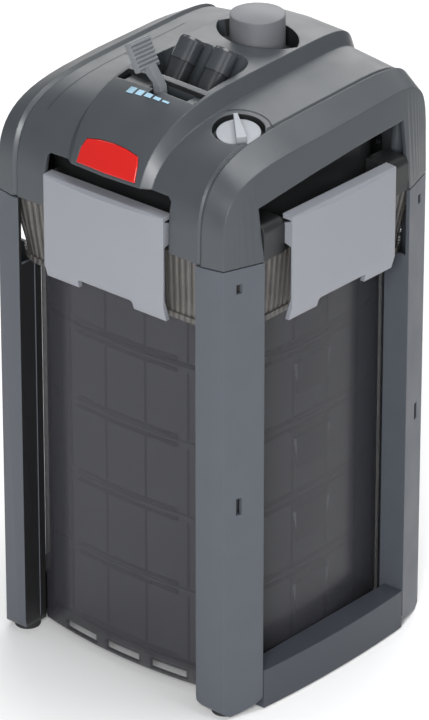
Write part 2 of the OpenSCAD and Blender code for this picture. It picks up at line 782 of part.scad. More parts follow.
// A clip made for the front side: plate, top ledge, cheeks and claw, with a
// finger notch in its lower edge
module clip(hinge) {
    face = hinge + hinge_in;
    w = clip_wall;
    kick = 5;
    crease = clip_bottom + 17;
    notch_half = 25.5;
    steps = 8;
    // Plan of the plate's bow, as depth lost at distance x from the middle
    bow = 2;
    color([0.66, 0.67, 0.69])
    difference() {
        union() {
            intersection() {
                along_x(clip_half) polygon([
                    [-face + kick, clip_bottom], [-face, crease], [-face, clip_top - 3],
                    [-face + 2.5, clip_top - 0.6], [-hinge - 3, clip_top], [-hinge - 3, clip_top - w],
                    [-face + w + 1, clip_top - w], [-face + w, clip_top - w - 1],
                    [-face + w, crease], [-face + kick + w, clip_bottom]
                ]);
                linear_extrude(2 * split_z) polygon(concat(
                    [for (i = [0:steps]) let (x = mix(-clip_half, clip_half, i / steps))
                        [x, -face + bow * pow(x / clip_half, 2)]],
                    [[clip_half, -hinge + 20], [-clip_half, -hinge + 20]]));
            }
            // Cheeks with the hinge eyes
            for (x = [-clip_half, clip_half - ear_w]) translate([x, 0, 0])
                rotate([90, 0, 90]) linear_extrude(ear_w) {
                    translate([-hinge, hinge_z]) circle(ear_r);
                    polygon([[-hinge, hinge_z - ear_r], [-face + bow + 1, hinge_z - 9],
                        [-face + bow + 1, clip_top - w - 0.5], [-hinge, hinge_z + ear_r]]);
                }
            // Claws that hold the collar's lip, one on each side of the notch
            for (x = [-48, 30]) translate([x, -face + kick + 1, clip_bottom - 0.5])
                cube([18, claw_in - kick - 1, 3]);
        }
        translate([0, -hinge, hinge_z]) rotate([0, 90, 0])
            translate([0, 0, -clip_half - cut]) cylinder(r = pin_r + pin_play, h = 2 * (clip_half + cut));
        // Finger notch with rounded upper corners
        along_y(-face - cut, -hinge) {
            translate([0, clip_bottom + 1.2]) square([2 * notch_half, 6.4], center = true);
            translate([0, clip_bottom]) square([2 * notch_half - 4, 13.2], center = true);
            for (s = [-1, 1]) translate([s * (notch_half - 2), clip_bottom + 4.4]) circle(2, $fn = 24);
        }
    }
}

module clip_front() { on_side(0) clip(front_hinge); }
module clip_right() { on_side(1) clip(side_hinge); }
module clip_rear() { on_side(2) clip(front_hinge); }
module clip_left() { on_side(3) clip(side_hinge); }

module hinge_pins() {
    color([0.7, 0.7, 0.72])
    for (side = [0:3]) on_side(side) {
        reach = clip_half + (side % 2 == 0 ? 9 : 12);
        translate([-reach, -(side % 2 == 0 ? front_hinge : side_hinge), hinge_z])
            rotate([0, 90, 0]) cylinder(r = pin_r, h = 2 * reach);
    }
}

// ------------------------------------------------------------- flow window

module flow_window() {
    color([0.92, 0.2, 0.15, 0.8])
    difference() {
        intersection() {
            head_form(-0.5);
            along_y(-half_d - 2, -half_d / 2) window_outline(-0.1);
        }
        head_form(cover_wall, cut);
    }
}

flag_y = -(half_d - 20);
flag_z = split_z + arch_z + 15;

module flag_bracket() {
    color([0.15, 0.15, 0.16])
    for (m = [0, 1]) mirror([m, 0, 0]) {
        difference() {
            translate([19, flag_y - 2, flag_z - 13]) cube([3, 12, 17]);
            translate([18, flag_y, flag_z]) rotate([0, 90, 0]) cylinder(r = 1.5, h = 6, $fn = 32);
        }
        translate([0, flag_y + 7, flag_z - 13]) cube([22, 3, 17]);
    }
}

module flag_pin() {
    color([0.75, 0.75, 0.77])
    translate([-22, flag_y, flag_z]) rotate([0, 90, 0]) cylinder(r = 1.5, h = 44, $fn = 32);
}

module flow_flag() {
    color([0.85, 0.75, 0.2])
    difference() {
        union() {
            translate([-17, flag_y, flag_z]) rotate([0, 90, 0]) cylinder(r = 3, h = 34, $fn = 32);
            translate([-17, flag_y - 1, flag_z - 12]) cube([34, 2, 11]);
        }
        translate([-18, flag_y, flag_z]) rotate([0, 90, 0]) cylinder(r = 1.56, h = 36, $fn = 32);
    }
}

// -------------------------------------------------------------------- pump

module pump_axis() {
    translate([pump_x, pump_y, 0]) children();
}

// Sealed stator that drops over the well
module motor_housing() {
    z0 = base_z + flange_h;
    color([0.16, 0.17, 0.18])
    pump_axis() difference() {
        union() {
            translate([0, 0, z0]) cylinder(r = pump_r, h = 44);
            for (a = [0:30:330]) rotate([0, 0, a]) translate([pump_r - 1, -1, z0]) cube([3, 2, 40]);
        }
        translate([0, 0, z0 - cut]) cylinder(r = well_r + 2 + gap, h = 33);
    }
}

rotor_z = base_z - plug_h + 3;

module rotor() {
    color([0.2, 0.2, 0.22])
    pump_axis() difference() {
        union() {
            translate([0, 0, rotor_z + 9]) cylinder(r = magnet_r, h = 34);
            translate([0, 0, rotor_z + 7]) cylinder(r = magnet_r, h = 2);
            translate([0, 0, rotor_z]) cylinder(r = 4.5, h = 8);
            for (a = [0:60:300]) rotate([0, 0, a]) translate([2, -0.8, rotor_z]) cube([magnet_r - 2.3, 1.6, 8]);
        }
        translate([0, 0, rotor_z - cut]) cylinder(r = shaft_r + 0.06, h = 60, $fn = 48);
    }
}

module rotor_shaft() {
    color([0.95, 0.95, 0.93])
    pump_axis() translate([0, 0, rotor_z - 4]) cylinder(r = shaft_r, h = 50.5, $fn = 48);
}

module shaft_bushes() {
    color([0.1, 0.1, 0.1])
    pump_axis() for (z = [rotor_z - 4, rotor_z + 43.5]) translate([0, 0, z]) difference() {
        cylinder(r = 5, h = 3, $fn = 48);
        translate([0, 0, -cut]) cylinder(r = shaft_r, h = 5, $fn = 48);
    }
}

// Cover with the pump's inlet, clipped under the well
module impeller_cover() {
    z = base_z - plug_h - 3.5;
    color([0.15, 0.15, 0.16])
    pump_axis() difference() {
        translate([0, 0, z]) cylinder(r = pump_r - 3, h = 3.5);
        for (a = [45:90:315]) rotate([0, 0, a]) translate([9, 0, z - cut]) cylinder(r = 3.4, h = 6, $fn = 32);
        translate([0, 0, z + 1.5]) cylinder(r = 5, h = 6, $fn = 48);
    }
}

// Strain relief for the mains cord, in the back of the cover
module cable_gland() {
    back = half_d - 8;
    color([0.1, 0.1, 0.1])
    translate([gland_x, 0, gland_z]) difference() {
        union() {
            translate([0, back + 8, 0]) rotate([90, 0, 0]) cylinder(r1 = cord_r + 2.6, r2 = 7.9, h = 8);
            translate([0, back, 0]) rotate([90, 0, 0]) cylinder(r = 7.9, h = 10);
            translate([0, back - 8, 0]) rotate([90, 0, 0]) cylinder(r = 10, h = 2);
        }
        translate([0, back + 9, 0]) rotate([90, 0, 0]) cylinder(r = cord_r, h = 30);
    }
}

// --------------------------------------------------------------- flow dial

module flow_dial() {
    color([0.8, 0.8, 0.81])
    dial_axis() difference() {
        union() {
            translate([0, 0, -5.5]) cylinder(r = dial_r, h = 4);
            rotate([0, 0, dial_rest]) translate([0, 0, -2]) linear_extrude(6.5)
                polygon([[-3.6, -dial_r + 1], [3.6, -dial_r + 1], [1.4, dial_r - 1], [-1.4, dial_r - 1]]);
        }
        translate([0, 0, -6.5]) cylinder(r = 3, h = 3.5, $fn = 48);
    }
}

module dial_spindle() {
    color([0.7, 0.7, 0.72])
    dial_axis() {
        translate([0, 0, -42]) cylinder(r = 3, h = 39, $fn = 48);
        translate([0, 0, -20]) cylinder(r = 4, h = 13.8, $fn = 48);
    }
}

module bypass_disc() {
    color([0.85, 0.85, 0.86])
    dial_axis() translate([0, 0, -46]) difference() {
        cylinder(r = 14, h = 4);
        translate([0, 8, -cut]) cylinder(r = 3.5, h = 6, $fn = 48);
        translate([6, 6, -cut]) cylinder(r = 2.2, h = 6, $fn = 48);
    }
}

// ------------------------------------------------------------ priming pump

module priming_button() {
    dome = 3;
    sphere_r = (button_r * button_r + dome * dome) / (2 * dome);
    color([0.72, 0.72, 0.73])
    translate([0, button_y, 0]) difference() {
        union() {
            translate([0, 0, recess_floor - 4]) cylinder(r = button_r, h = button_top - recess_floor + 4);
            intersection() {
                translate([0, 0, button_top + dome - sphere_r]) sphere(sphere_r);
                translate([0, 0, button_top - 1]) cylinder(r = button_r - 0.5, h = 10);
            }
        }
        translate([0, 0, recess_floor - 6]) cylinder(r = button_r - 2.2, h = button_top - recess_floor + 3);
    }
}

piston_z = base_z + 32;

module piston() {
    color([0.3, 0.31, 0.33])
    translate([0, button_y, 0]) {
        translate([0, 0, piston_z]) cylinder(r = 5, h = button_top - 3 - piston_z);
        difference() {
            translate([0, 0, piston_z - 8]) cylinder(r = piston_r, h = 9);
            translate([0, 0, piston_z - 5.5]) difference() {
                cylinder(r = piston_r + 1, h = 3.2);
                translate([0, 0, -cut]) cylinder(r = piston_r - 2.6, h = 6);
            }
        }
    }
}

module piston_seal() {
    color([0.08, 0.08, 0.08])
    translate([0, button_y, piston_z - 5.4]) difference() {
        cylinder(r = piston_r + 0.1, h = 3);
        translate([0, 0, -cut]) cylinder(r = piston_r - 2.5, h = 5);
    }
}

module pump_barrel() {
    h = barrel_h;
    color([0.5, 0.52, 0.54])
    translate([0, button_y, base_z + 2.2]) difference() {
        cylinder(r = barrel_r - 0.1, h = h);
        translate([0, 0, 2]) cylinder(r = piston_r + 0.5, h = h - 4);
        translate([0, 0, 1]) cylinder(r = 5.5, h = h);
    }
}

// Coil spring between the barrel's lid and the button, swept as a round wire
barrel_h = 52;
spring_z = base_z + 2.2 + barrel_h;
module return_spring() {
    turns = 5;
    wire = 0.9;
    coil_r = 9;
    per_turn = 14;
    sides = 8;
    top = button_top - 3;
    height = top - spring_z - 2 * wire;
    n = turns * per_turn;
    ring = function (i) let (a = 360 * i / per_turn)
        [for (k = [0:sides - 1]) let (b = 360 * k / sides, r = coil_r + wire * cos(b))
            [r * cos(a), r * sin(a), spring_z + wire + height * i / n + wire * sin(b)]];
    points = [for (i = [0:n]) each ring(i)];
    sides_faces = [for (i = [0:n - 1]) for (k = [0:sides - 1]) let (j = (k + 1) % sides)
        [i * sides + k, i * sides + j, (i + 1) * sides + j, (i + 1) * sides + k]];
    caps = [[for (k = [sides - 1:-1:0]) k], [for (k = [0:sides - 1]) n * sides + k]];
    color([0.7, 0.7, 0.72])
    translate([0, button_y, 0]) polyhedron(points, concat(sides_faces, caps), convexity = 10);
}

// ----------------------------------------------------------- shut-off lever

// The lever leans left at rest: hub, cranked stem and a ribbed paddle
module shutoff_lever() {
    knee = [-1, 18];
    heel = [-12, 26.5];
    tip = [-22, 45.5];
    lean = atan2(heel[0] - tip[0], tip[1] - heel[1]);
    length = norm(tip - heel);
    color([0.72, 0.72, 0.74])
    translate([0, lever_y, lever_z]) difference() {
        union() {
            rotate([90, 0, 0]) translate([0, 0, -4]) cylinder(r = 6, h = 8, $fn = 48);
            along_y(-3.5, 3.5) polygon([[-3.5, 2], [3.5, 2], [knee[0] + 3.2, knee[1]],
                [heel[0] + 4, heel[1] + 5], [heel[0] - 1, heel[1] - 0.5], [knee[0] - 3.4, knee[1] + 1]]);
            translate([heel[0], 0, heel[1]]) rotate([0, -lean, 0]) {
                translate([-2.2, -paddle_w / 2, 0]) cube([4.4, paddle_w, length]);
                for (i = [0:6]) for (s = [-1, 1])
                    translate([s * 2, 0, 2 + i * (length - 4) / 6]) rotate([90, 0, 0])
                        translate([0, 0, -paddle_w / 2 + 0.6]) cylinder(r = 1.2, h = paddle_w - 1.2, $fn = 24);
            }
        }
        rotate([90, 0, 0]) translate([0, 0, -20]) cylinder(r = lever_shaft_r, h = 40, $fn = 48);
    }
}

module lever_shaft() {
    color([0.7, 0.7, 0.72])
    translate([0, bay_front + 2.7, lever_z]) rotate([90, 0, 0])
        cylinder(r = lever_shaft_r, h = 24, $fn = 48);
}

// Cam that holds the adapter down while the lever is at rest
module lock_cam() {
    color([0.3, 0.31, 0.33])
    translate([0, bay_front + 2.6, lever_z]) rotate([90, 0, 0]) difference() {
        union() {
            cylinder(r = 5.5, h = 2.4, $fn = 48);
            translate([0, -3, 0]) cube([9, 6, 2.4]);
        }
        translate([0, 0, -cut]) cylinder(r = lever_shaft_r, h = 5, $fn = 48);
    }
}

// Plate that closes the slot round the lever, with the shaft's two cheeks
module slot_plate() {
    top = lever_z + 14.5;
    color([0.45, 0.46, 0.48])
    difference() {
        union() {
            for (plate = [[-31, -9], [26.5, 33]])
                translate([plate[0], lever_y - slot_half_d + 0.4, top - 2.4])
                    cube([plate[1] - plate[0], 2 * slot_half_d - 0.8, 2.4]);
            for (y = [lever_y - 9, lever_y + 5.4]) translate([-31, y, lever_z - 6]) cube([62, 2.6, 14]);
            for (m = [0, 1]) mirror([m, 0, 0])
                translate([28.5, lever_y - 9, lever_z - 6]) cube([2.5, 17, 14]);
            for (m = [0, 1]) mirror([m, 0, 0])
                translate([28.5, lever_y - slot_half_d + 0.4, lever_z + 7])
                    cube([2.5, 2 * slot_half_d - 0.8, 6]);
        }
        translate([0, lever_y + 20, lever_z]) rotate([90, 0, 0])
            cylinder(r = lever_shaft_r + 0.06, h = 40, $fn = 48);
    }
}

// ------------------------------------------------------------ hose adapter

module hose_adapter() {
    color([0.1, 0.1, 0.11])
    difference() {
        union() {
            translate([-24, -36, bay_floor - 16]) cube([48, 22, 20]);
            translate([-30, -40, bay_floor + gap]) cube([60, 26, 3.5]);
            for (s = [-1, 1]) {
                tail_axis(s) translate([0, 0, -9]) cylinder(r = neck_r, h = 9 + neck_len);
                translate([s * tail_x, socket_y, base_z + 8])
                    cylinder(r = socket_r, h = bay_floor - base_z - 8);
            }
        }
        for (s = [-1, 1]) {
            translate([s * tail_x, socket_y, base_z]) cylinder(r = 4.8, h = bay_floor - base_z + 1);
            tail_axis(s) translate([0, 0, -6]) cylinder(r = neck_r - 1.8, h = neck_len + 8);
            // Grooves for the seals
            translate([s * tail_x, socket_y, base_z + 14]) difference() {
                cylinder(r = socket_r + 1, h = 3);
                translate([0, 0, -cut]) cylinder(r = socket_r - 1.8, h = 6);
            }
        }
    }
}

module hose_tail(side) {
    color([0.08, 0.08, 0.09])
    tail_axis(side) difference() {
        union() {
            translate([0, 0, neck_len]) cylinder(r = tail_r, h = tail_len - 2);
            translate([0, 0, neck_len + tail_len - 2]) cylinder(r1 = tail_r, r2 = tail_r - 1.2, h = 2);
        }
        translate([0, 0, neck_len - cut]) cylinder(r = neck_r - 1.8, h = tail_len + 2 * cut);
    }
}

module hose_tail_in() { hose_tail(-1); }
module hose_tail_out() { hose_tail(1); }

module adapter_seals() {
    color([0.05, 0.05, 0.05])
    for (s = [-1, 1]) translate([s * tail_x, socket_y, base_z + 14.2]) difference() {
        cylinder(r = socket_r + 0.2, h = 2.6);
        translate([0, 0, -cut]) cylinder(r = socket_r - 1.8, h = 6);
    }
}

canister();
canister_collar();
leg_front_left();
leg_front_right();
leg_rear_left();
leg_rear_right();
rail_left();
rail_right();
rubber_feet();
rail_screws();
basket_1();
basket_2();
basket_3();
basket_4();
prefilter_tray();
ceramic_tubes();
coarse_foam();
fine_foam();
fleece_pad();
prefilter_foam();
intake_pipe();
pipe_seal();
head_base();
head_seal();
head_cover();
head_screws();
clip_front();
clip_right();
clip_rear();
clip_left();
hinge_pins();
flow_window();
flag_bracket();
flow_flag();
flag_pin();
motor_housing();
rotor();
rotor_shaft();
shaft_bushes();
impeller_cover();
cable_gland();
flow_dial();
dial_spindle();
bypass_disc();
priming_button();
piston();
piston_seal();
pump_barrel();
return_spring();
shutoff_lever();
lever_shaft();
lock_cam();
slot_plate();
hose_adapter();
hose_tail_in();
hose_tail_out();
adapter_seals();
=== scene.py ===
import bpy
import bmesh
import json
import math
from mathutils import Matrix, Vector
from mathutils.bvhtree import BVHTree

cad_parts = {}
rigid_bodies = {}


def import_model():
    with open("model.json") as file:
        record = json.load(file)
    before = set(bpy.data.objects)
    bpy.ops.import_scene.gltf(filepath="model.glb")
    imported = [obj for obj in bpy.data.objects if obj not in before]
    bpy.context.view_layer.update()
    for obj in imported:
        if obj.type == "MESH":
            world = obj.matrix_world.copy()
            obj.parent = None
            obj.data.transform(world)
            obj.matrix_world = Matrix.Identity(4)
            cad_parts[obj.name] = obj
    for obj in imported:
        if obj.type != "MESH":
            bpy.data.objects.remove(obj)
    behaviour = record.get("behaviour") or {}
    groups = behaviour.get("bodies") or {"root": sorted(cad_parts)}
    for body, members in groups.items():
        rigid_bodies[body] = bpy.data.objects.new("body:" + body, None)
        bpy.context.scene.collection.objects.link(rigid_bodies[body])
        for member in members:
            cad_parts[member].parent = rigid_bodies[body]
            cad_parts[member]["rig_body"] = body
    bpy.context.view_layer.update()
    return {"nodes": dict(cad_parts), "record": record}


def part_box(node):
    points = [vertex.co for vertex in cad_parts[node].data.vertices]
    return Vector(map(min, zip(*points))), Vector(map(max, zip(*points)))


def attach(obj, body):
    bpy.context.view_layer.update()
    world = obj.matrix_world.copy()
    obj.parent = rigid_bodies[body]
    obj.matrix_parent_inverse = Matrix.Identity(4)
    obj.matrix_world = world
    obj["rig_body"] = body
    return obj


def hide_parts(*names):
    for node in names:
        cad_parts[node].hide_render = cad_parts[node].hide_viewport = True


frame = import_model()
record = frame["record"]
slot_of = {s["node"]: s["material_slot"] for s in record["subparts"]}


# ---------------------------------------------------------------- canister
# The media canister is injection moulded in smoky polycarbonate, clear in the
# middle of each face and nearly black where the eye skims along a wall. Its
# lower edge is rounded, and windows are cut through the skirt under the floor.

def tone(r, g, b):
    """Display colour, 0 to 255, as the linear value a shader takes."""
    shares = [c / 255 for c in (r, g, b)]
    return tuple(((c + 0.055) / 1.055) ** 2.4 if c > 0.04 else c / 12.92 for c in shares) + (1.0,)


def node(tree, kind, settings=None, values=None):
    made = tree.nodes.new(kind)
    for name, value in (settings or {}).items():
        setattr(made, name, value)
    for name, value in (values or {}).items():
        made.inputs[name].default_value = value
    return made


def group_socket(group, name, way, low=None):
    made = group.interface.new_socket(name, in_out=way, socket_type="NodeSocketFloat")
    if low is not None:
        made.default_value = low


def mould_texture_group():
    """Height of a spark-eroded mould texture, and a slow mottle of the plastic."""
    group = bpy.data.node_groups.new("mould_texture", "ShaderNodeTree")
    group_socket(group, "Grain per metre", "INPUT", 900)
    group_socket(group, "Height", "OUTPUT")
    group_socket(group, "Mottle", "OUTPUT")
    came = group.nodes.new("NodeGroupInput")
    out = group.nodes.new("NodeGroupOutput")
    place = group.nodes.new("ShaderNodeTexCoord")
    fine = node(group, "ShaderNodeTexNoise", {}, {"Detail": 3.0, "Roughness": 0.65})
    slow = node(group, "ShaderNodeTexNoise", {}, {"Scale": 38.0, "Detail": 4.0, "Roughness": 0.55})
    link = group.links.new
    link(place.outputs["Object"], fine.inputs["Vector"])
    link(place.outputs["Object"], slow.inputs["Vector"])
    link(came.outputs["Grain per metre"], fine.inputs["Scale"])
    link(fine.outputs["Fac"], out.inputs["Height"])
    link(slow.outputs["Fac"], out.inputs["Mottle"])
    return group


def rubbed_edge_group():
    """Mask of the edges that hands rub, and a normal that rounds them off."""
    group = bpy.data.node_groups.new("rubbed_edges", "ShaderNodeTree")
    group_socket(group, "Radius", "INPUT", 0.0008)
    group_socket(group, "Mask", "OUTPUT")
    group.interface.new_socket("Normal", in_out="OUTPUT", socket_type="NodeSocketVector")
    came = group.nodes.new("NodeGroupInput")
    out = group.nodes.new("NodeGroupOutput")
    round_off = node(group, "ShaderNodeBevel", {"samples": 4})
    here = group.nodes.new("ShaderNodeNewGeometry")
    dot = node(group, "ShaderNodeVectorMath", {"operation": "DOT_PRODUCT"})
    spread = node(group, "ShaderNodeMapRange", {}, {"From Min": 0.995, "From Max": 0.86})
    place = group.nodes.new("ShaderNodeTexCoord")
    patch = node(group, "ShaderNodeTexNoise", {}, {"Scale": 90.0, "Detail": 3.0})
    broken = node(group, "ShaderNodeMath", {"operation": "MULTIPLY"})
    link = group.links.new
    link(came.outputs["Radius"], round_off.inputs["Radius"])
    link(round_off.outputs["Normal"], dot.inputs[0])
    link(here.outputs["Normal"], dot.inputs[1])
    link(dot.outputs["Value"], spread.inputs["Value"])
    link(place.outputs["Object"], patch.inputs["Vector"])
    link(spread.outputs["Result"], broken.inputs[0])
    link(patch.outputs["Fac"], broken.inputs[1])
    link(broken.outputs["Value"], out.inputs["Mask"])
    link(round_off.outputs["Normal"], out.inputs["Normal"])
    return group


mould_texture = mould_texture_group()
rubbed_edges = rubbed_edge_group()


def moulded(name, colour, rough, grain=900.0, depth=0.00003, rub=0.35, edge=0.0008, uneven=0.10,
            values=None):
    """A moulded finish: mottled colour, eroded grain and edges rubbed paler."""
    material = bpy.data.materials.new(name)
    material.use_nodes = True
    tree = material.node_tree
    shader = tree.nodes["Principled BSDF"]
    for key, value in (values or {}).items():
        shader.inputs[key].default_value = value
    texture = node(tree, "ShaderNodeGroup", {"node_tree": mould_texture}, {"Grain per metre": grain})
    edges = node(tree, "ShaderNodeGroup", {"node_tree": rubbed_edges}, {"Radius": edge})
    darker = tuple(c * (1 - uneven) for c in colour[:3]) + (1.0,)
    paler = tuple(min(1.0, c * (1 + uneven)) for c in colour[:3]) + (1.0,)
    rubbed = tuple(min(1.0, c * 1.5 + 0.02) for c in colour[:3]) + (1.0,)
    mottle = node(tree, "ShaderNodeMix", {"data_type": "RGBA"})
    mottle.inputs[6].default_value = darker
    mottle.inputs[7].default_value = paler
    wear = node(tree, "ShaderNodeMix", {"data_type": "RGBA"})
    wear.inputs[7].default_value = rubbed
    amount = node(tree, "ShaderNodeMath", {"operation": "MULTIPLY"})
    amount.inputs[1].default_value = rub
    gloss = node(tree, "ShaderNodeMapRange", {}, {"From Min": 0.3, "From Max": 0.7,
                                                  "To Min": rough - 0.05, "To Max": rough + 0.05})
    bump = node(tree, "ShaderNodeBump", {}, {"Strength": 1.0, "Distance": depth})
    link = tree.links.new
    link(texture.outputs["Mottle"], mottle.inputs["Factor"])
    link(mottle.outputs[2], wear.inputs[6])
    link(edges.outputs["Mask"], amount.inputs[0])
    link(amount.outputs["Value"], wear.inputs["Factor"])
    link(wear.outputs[2], shader.inputs["Base Color"])
    link(texture.outputs["Mottle"], gloss.inputs["Value"])
    link(gloss.outputs["Result"], shader.inputs["Roughness"])
    link(texture.outputs["Height"], bump.inputs["Height"])
    link(edges.outputs["Normal"], bump.inputs["Normal"])
    link(bump.outputs["Normal"], shader.inputs["Normal"])
    return material


def link_object(name, mesh):
    made = bpy.data.objects.new(name, mesh)
    bpy.context.scene.collection.objects.link(made)
    return made


def seat(piece, body, finish, slot, *nodes):
    """Gives a piece its finish and seats it on its body in place of its nodes."""
    piece.data.materials.clear()
    piece.data.materials.append(finish)
    if nodes:
        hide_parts(*nodes)
    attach(piece, body)
    return piece


def body_of(part):
    return frame["nodes"][part]["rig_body"]


def worked_mesh(part):
    """The part's own shape, its doubles merged and its flats made whole."""
    work = bmesh.new()
    work.from_mesh(frame["nodes"][part].data)
    bmesh.ops.remove_doubles(work, verts=work.verts, dist=2e-6)
    bmesh.ops.dissolve_limit(work, angle_limit=math.radians(0.4), verts=work.verts, edges=work.edges)
    return work


def finished(part, name, finish, edge=0.0006, sharp=32, segments=2, round_off=None, creases=None):
    """Works a part over: broken edges and smooth curved faces."""
    work = worked_mesh(part)
    if round_off:
        round_off(work)
    mesh = bpy.data.meshes.new(name)
    work.to_mesh(mesh)
    work.free()
    if "custom_normal" in mesh.attributes:
        mesh.attributes.remove(mesh.attributes["custom_normal"])
    mesh.shade_smooth()
    mesh.set_sharp_from_angle(angle=math.radians(sharp))
    if creases:
        creases(mesh)
    piece = link_object(name, mesh)
    if edge:
        broken = piece.modifiers.new("broken edges", "BEVEL")
        broken.width = edge
        broken.segments = segments
        broken.limit_method = "ANGLE"
        broken.angle_limit = math.radians(sharp)
        broken.harden_normals = True
    else:
        even = piece.modifiers.new("even shading", "WEIGHTED_NORMAL")
        even.keep_sharp = True
    return seat(piece, body_of(part), finish, slot_of[part], part)


def smoked_clear(name, colour, rough, middle, skim):
    """Smoky clear plastic: see-through face on, nearly black along a wall."""
    material = bpy.data.materials.new(name)
    material.use_nodes = True
    tree = material.node_tree
    shader = tree.nodes["Principled BSDF"]
    shader.inputs["IOR"].default_value = 1.5
    shader.inputs["Specular IOR Level"].default_value = 0.3
    texture = node(tree, "ShaderNodeGroup", {"node_tree": mould_texture}, {"Grain per metre": 220.0})
    edges = node(tree, "ShaderNodeGroup", {"node_tree": rubbed_edges}, {"Radius": 0.0012})
    facing = node(tree, "ShaderNodeLayerWeight", {}, {"Blend": 0.5})
    see = node(tree, "ShaderNodeMapRange", {}, {"From Min": 0.25, "From Max": 0.85,
                                                "To Min": middle, "To Max": skim})
    tint = node(tree, "ShaderNodeMix", {"data_type": "RGBA"})
    tint.inputs[6].default_value = colour
    tint.inputs[7].default_value = tuple(c * 1.12 for c in colour[:3]) + (1.0,)
    deep = node(tree, "ShaderNodeMix", {"data_type": "RGBA"})
    deep.inputs[7].default_value = tone(9, 9, 11)
    gloss = node(tree, "ShaderNodeMapRange", {}, {"To Min": rough - 0.03, "To Max": rough + 0.03})
    bump = node(tree, "ShaderNodeBump", {}, {"Strength": 0.1, "Distance": 0.00001})
    dim = node(tree, "ShaderNodeMapRange", {}, {"From Min": 0.45, "From Max": 0.8})
    link = tree.links.new
    link(facing.outputs["Facing"], dim.inputs["Value"])
    link(dim.outputs["Result"], deep.inputs["Factor"])
    link(tint.outputs[2], deep.inputs[6])
    link(facing.outputs["Facing"], see.inputs["Value"])
    link(see.outputs["Result"], shader.inputs["Alpha"])
    link(texture.outputs["Mottle"], tint.inputs["Factor"])
    link(deep.outputs[2], shader.inputs["Base Color"])
    link(texture.outputs["Mottle"], gloss.inputs["Value"])
    link(gloss.outputs["Result"], shader.inputs["Roughness"])
    link(texture.outputs["Height"], bump.inputs["Height"])
    link(edges.outputs["Normal"], bump.inputs["Normal"])
    link(bump.outputs["Normal"], shader.inputs["Normal"])
    return material


def round_canister_foot(work):
    """Rounds the outer edge of the canister's foot."""
    foot = min(v.co.z for v in work.verts)

    def faces_out(edge):
        away = Vector((edge.verts[0].co.x, edge.verts[0].co.y, 0))
        return any(abs(f.normal.z) < 0.1 and f.normal.dot(away) > 0 for f in edge.link_faces)

    outline = [e for e in work.edges if len(e.link_faces) == 2
               and all(abs(v.co.z - foot) < 1e-5 for v in e.verts) and faces_out(e)]
    bmesh.ops.bevel(work, geom=outline, offset=0.0026, segments=4, profile=0.5, affect="EDGES", material=-1)


smoke = smoked_clear("smoked canister", tone(54, 54, 59), 0.22, 0.55, 0.98)
finished("canister", "media_canister", smoke, edge=0, sharp=30, round_off=round_canister_foot)

# ------------------------------------------------------------------ collar
# A paler frosted collar is welded round the mouth. It opens out towards the
# head like a funnel, and fine upright flutes run all the way round it. Its
# colour is painted darker in each flute's hollow and paler on its crest, as
# painted shade and painted highlight.

def fluted_frost(name, colour, rough, count):
    material = bpy.data.materials.new(name)
    material.use_nodes = True
    tree = material.node_tree
    shader = tree.nodes["Principled BSDF"]
    place = tree.nodes.new("ShaderNodeTexCoord")
    apart = tree.nodes.new("ShaderNodeSeparateXYZ")
    around = node(tree, "ShaderNodeMath", {"operation": "ARCTAN2"})
    turns = node(tree, "ShaderNodeMath", {"operation": "MULTIPLY"})
    turns.inputs[1].default_value = count
    wave = node(tree, "ShaderNodeMath", {"operation": "SINE"})
    share = node(tree, "ShaderNodeMapRange", {}, {"From Min": -1.0, "From Max": 1.0})
    uneven = node(tree, "ShaderNodeTexNoise", {}, {"Scale": 60.0, "Detail": 3.0})
    # Painted shade in the flutes' hollows and painted highlight on their crests, broken up by noise.
    flute_shade_and_highlight = node(tree, "ShaderNodeMath", {"operation": "MULTIPLY"})
    tint = node(tree, "ShaderNodeMix", {"data_type": "RGBA"})
    tint.inputs[6].default_value = tuple(c * 0.55 for c in colour[:3]) + (1.0,)
    tint.inputs[7].default_value = tuple(min(1, c * 1.45) for c in colour[:3]) + (1.0,)
    facing = node(tree, "ShaderNodeLayerWeight", {}, {"Blend": 0.4})
    see = node(tree, "ShaderNodeMapRange", {}, {"To Min": 0.62, "To Max": 0.97})
    gloss = node(tree, "ShaderNodeMapRange", {}, {"To Min": rough - 0.05, "To Max": rough + 0.08})
    bump = node(tree, "ShaderNodeBump", {}, {"Strength": 1.0, "Distance": 0.0006})
    link = tree.links.new
    link(place.outputs["Object"], apart.inputs["Vector"])
    link(apart.outputs["Y"], around.inputs[0])
    link(apart.outputs["X"], around.inputs[1])
    link(around.outputs["Value"], turns.inputs[0])
    link(turns.outputs["Value"], wave.inputs[0])
    link(wave.outputs["Value"], share.inputs["Value"])
    link(place.outputs["Object"], uneven.inputs["Vector"])
    link(share.outputs["Result"], flute_shade_and_highlight.inputs[0])
    link(uneven.outputs["Fac"], flute_shade_and_highlight.inputs[1])
    link(flute_shade_and_highlight.outputs["Value"], tint.inputs["Factor"])
    link(tint.outputs[2], shader.inputs["Base Color"])
    link(facing.outputs["Facing"], see.inputs["Value"])
    link(see.outputs["Result"], shader.inputs["Alpha"])
    link(uneven.outputs["Fac"], gloss.inputs["Value"])
    link(gloss.outputs["Result"], shader.inputs["Roughness"])
    link(share.outputs["Result"], bump.inputs["Height"])
    link(bump.outputs["Normal"], shader.inputs["Normal"])
    return material


frost = fluted_frost("frosted collar", tone(104, 101, 98), 0.3, 170)
finished("canister_collar", "fluted_collar", frost, edge=0, sharp=34)
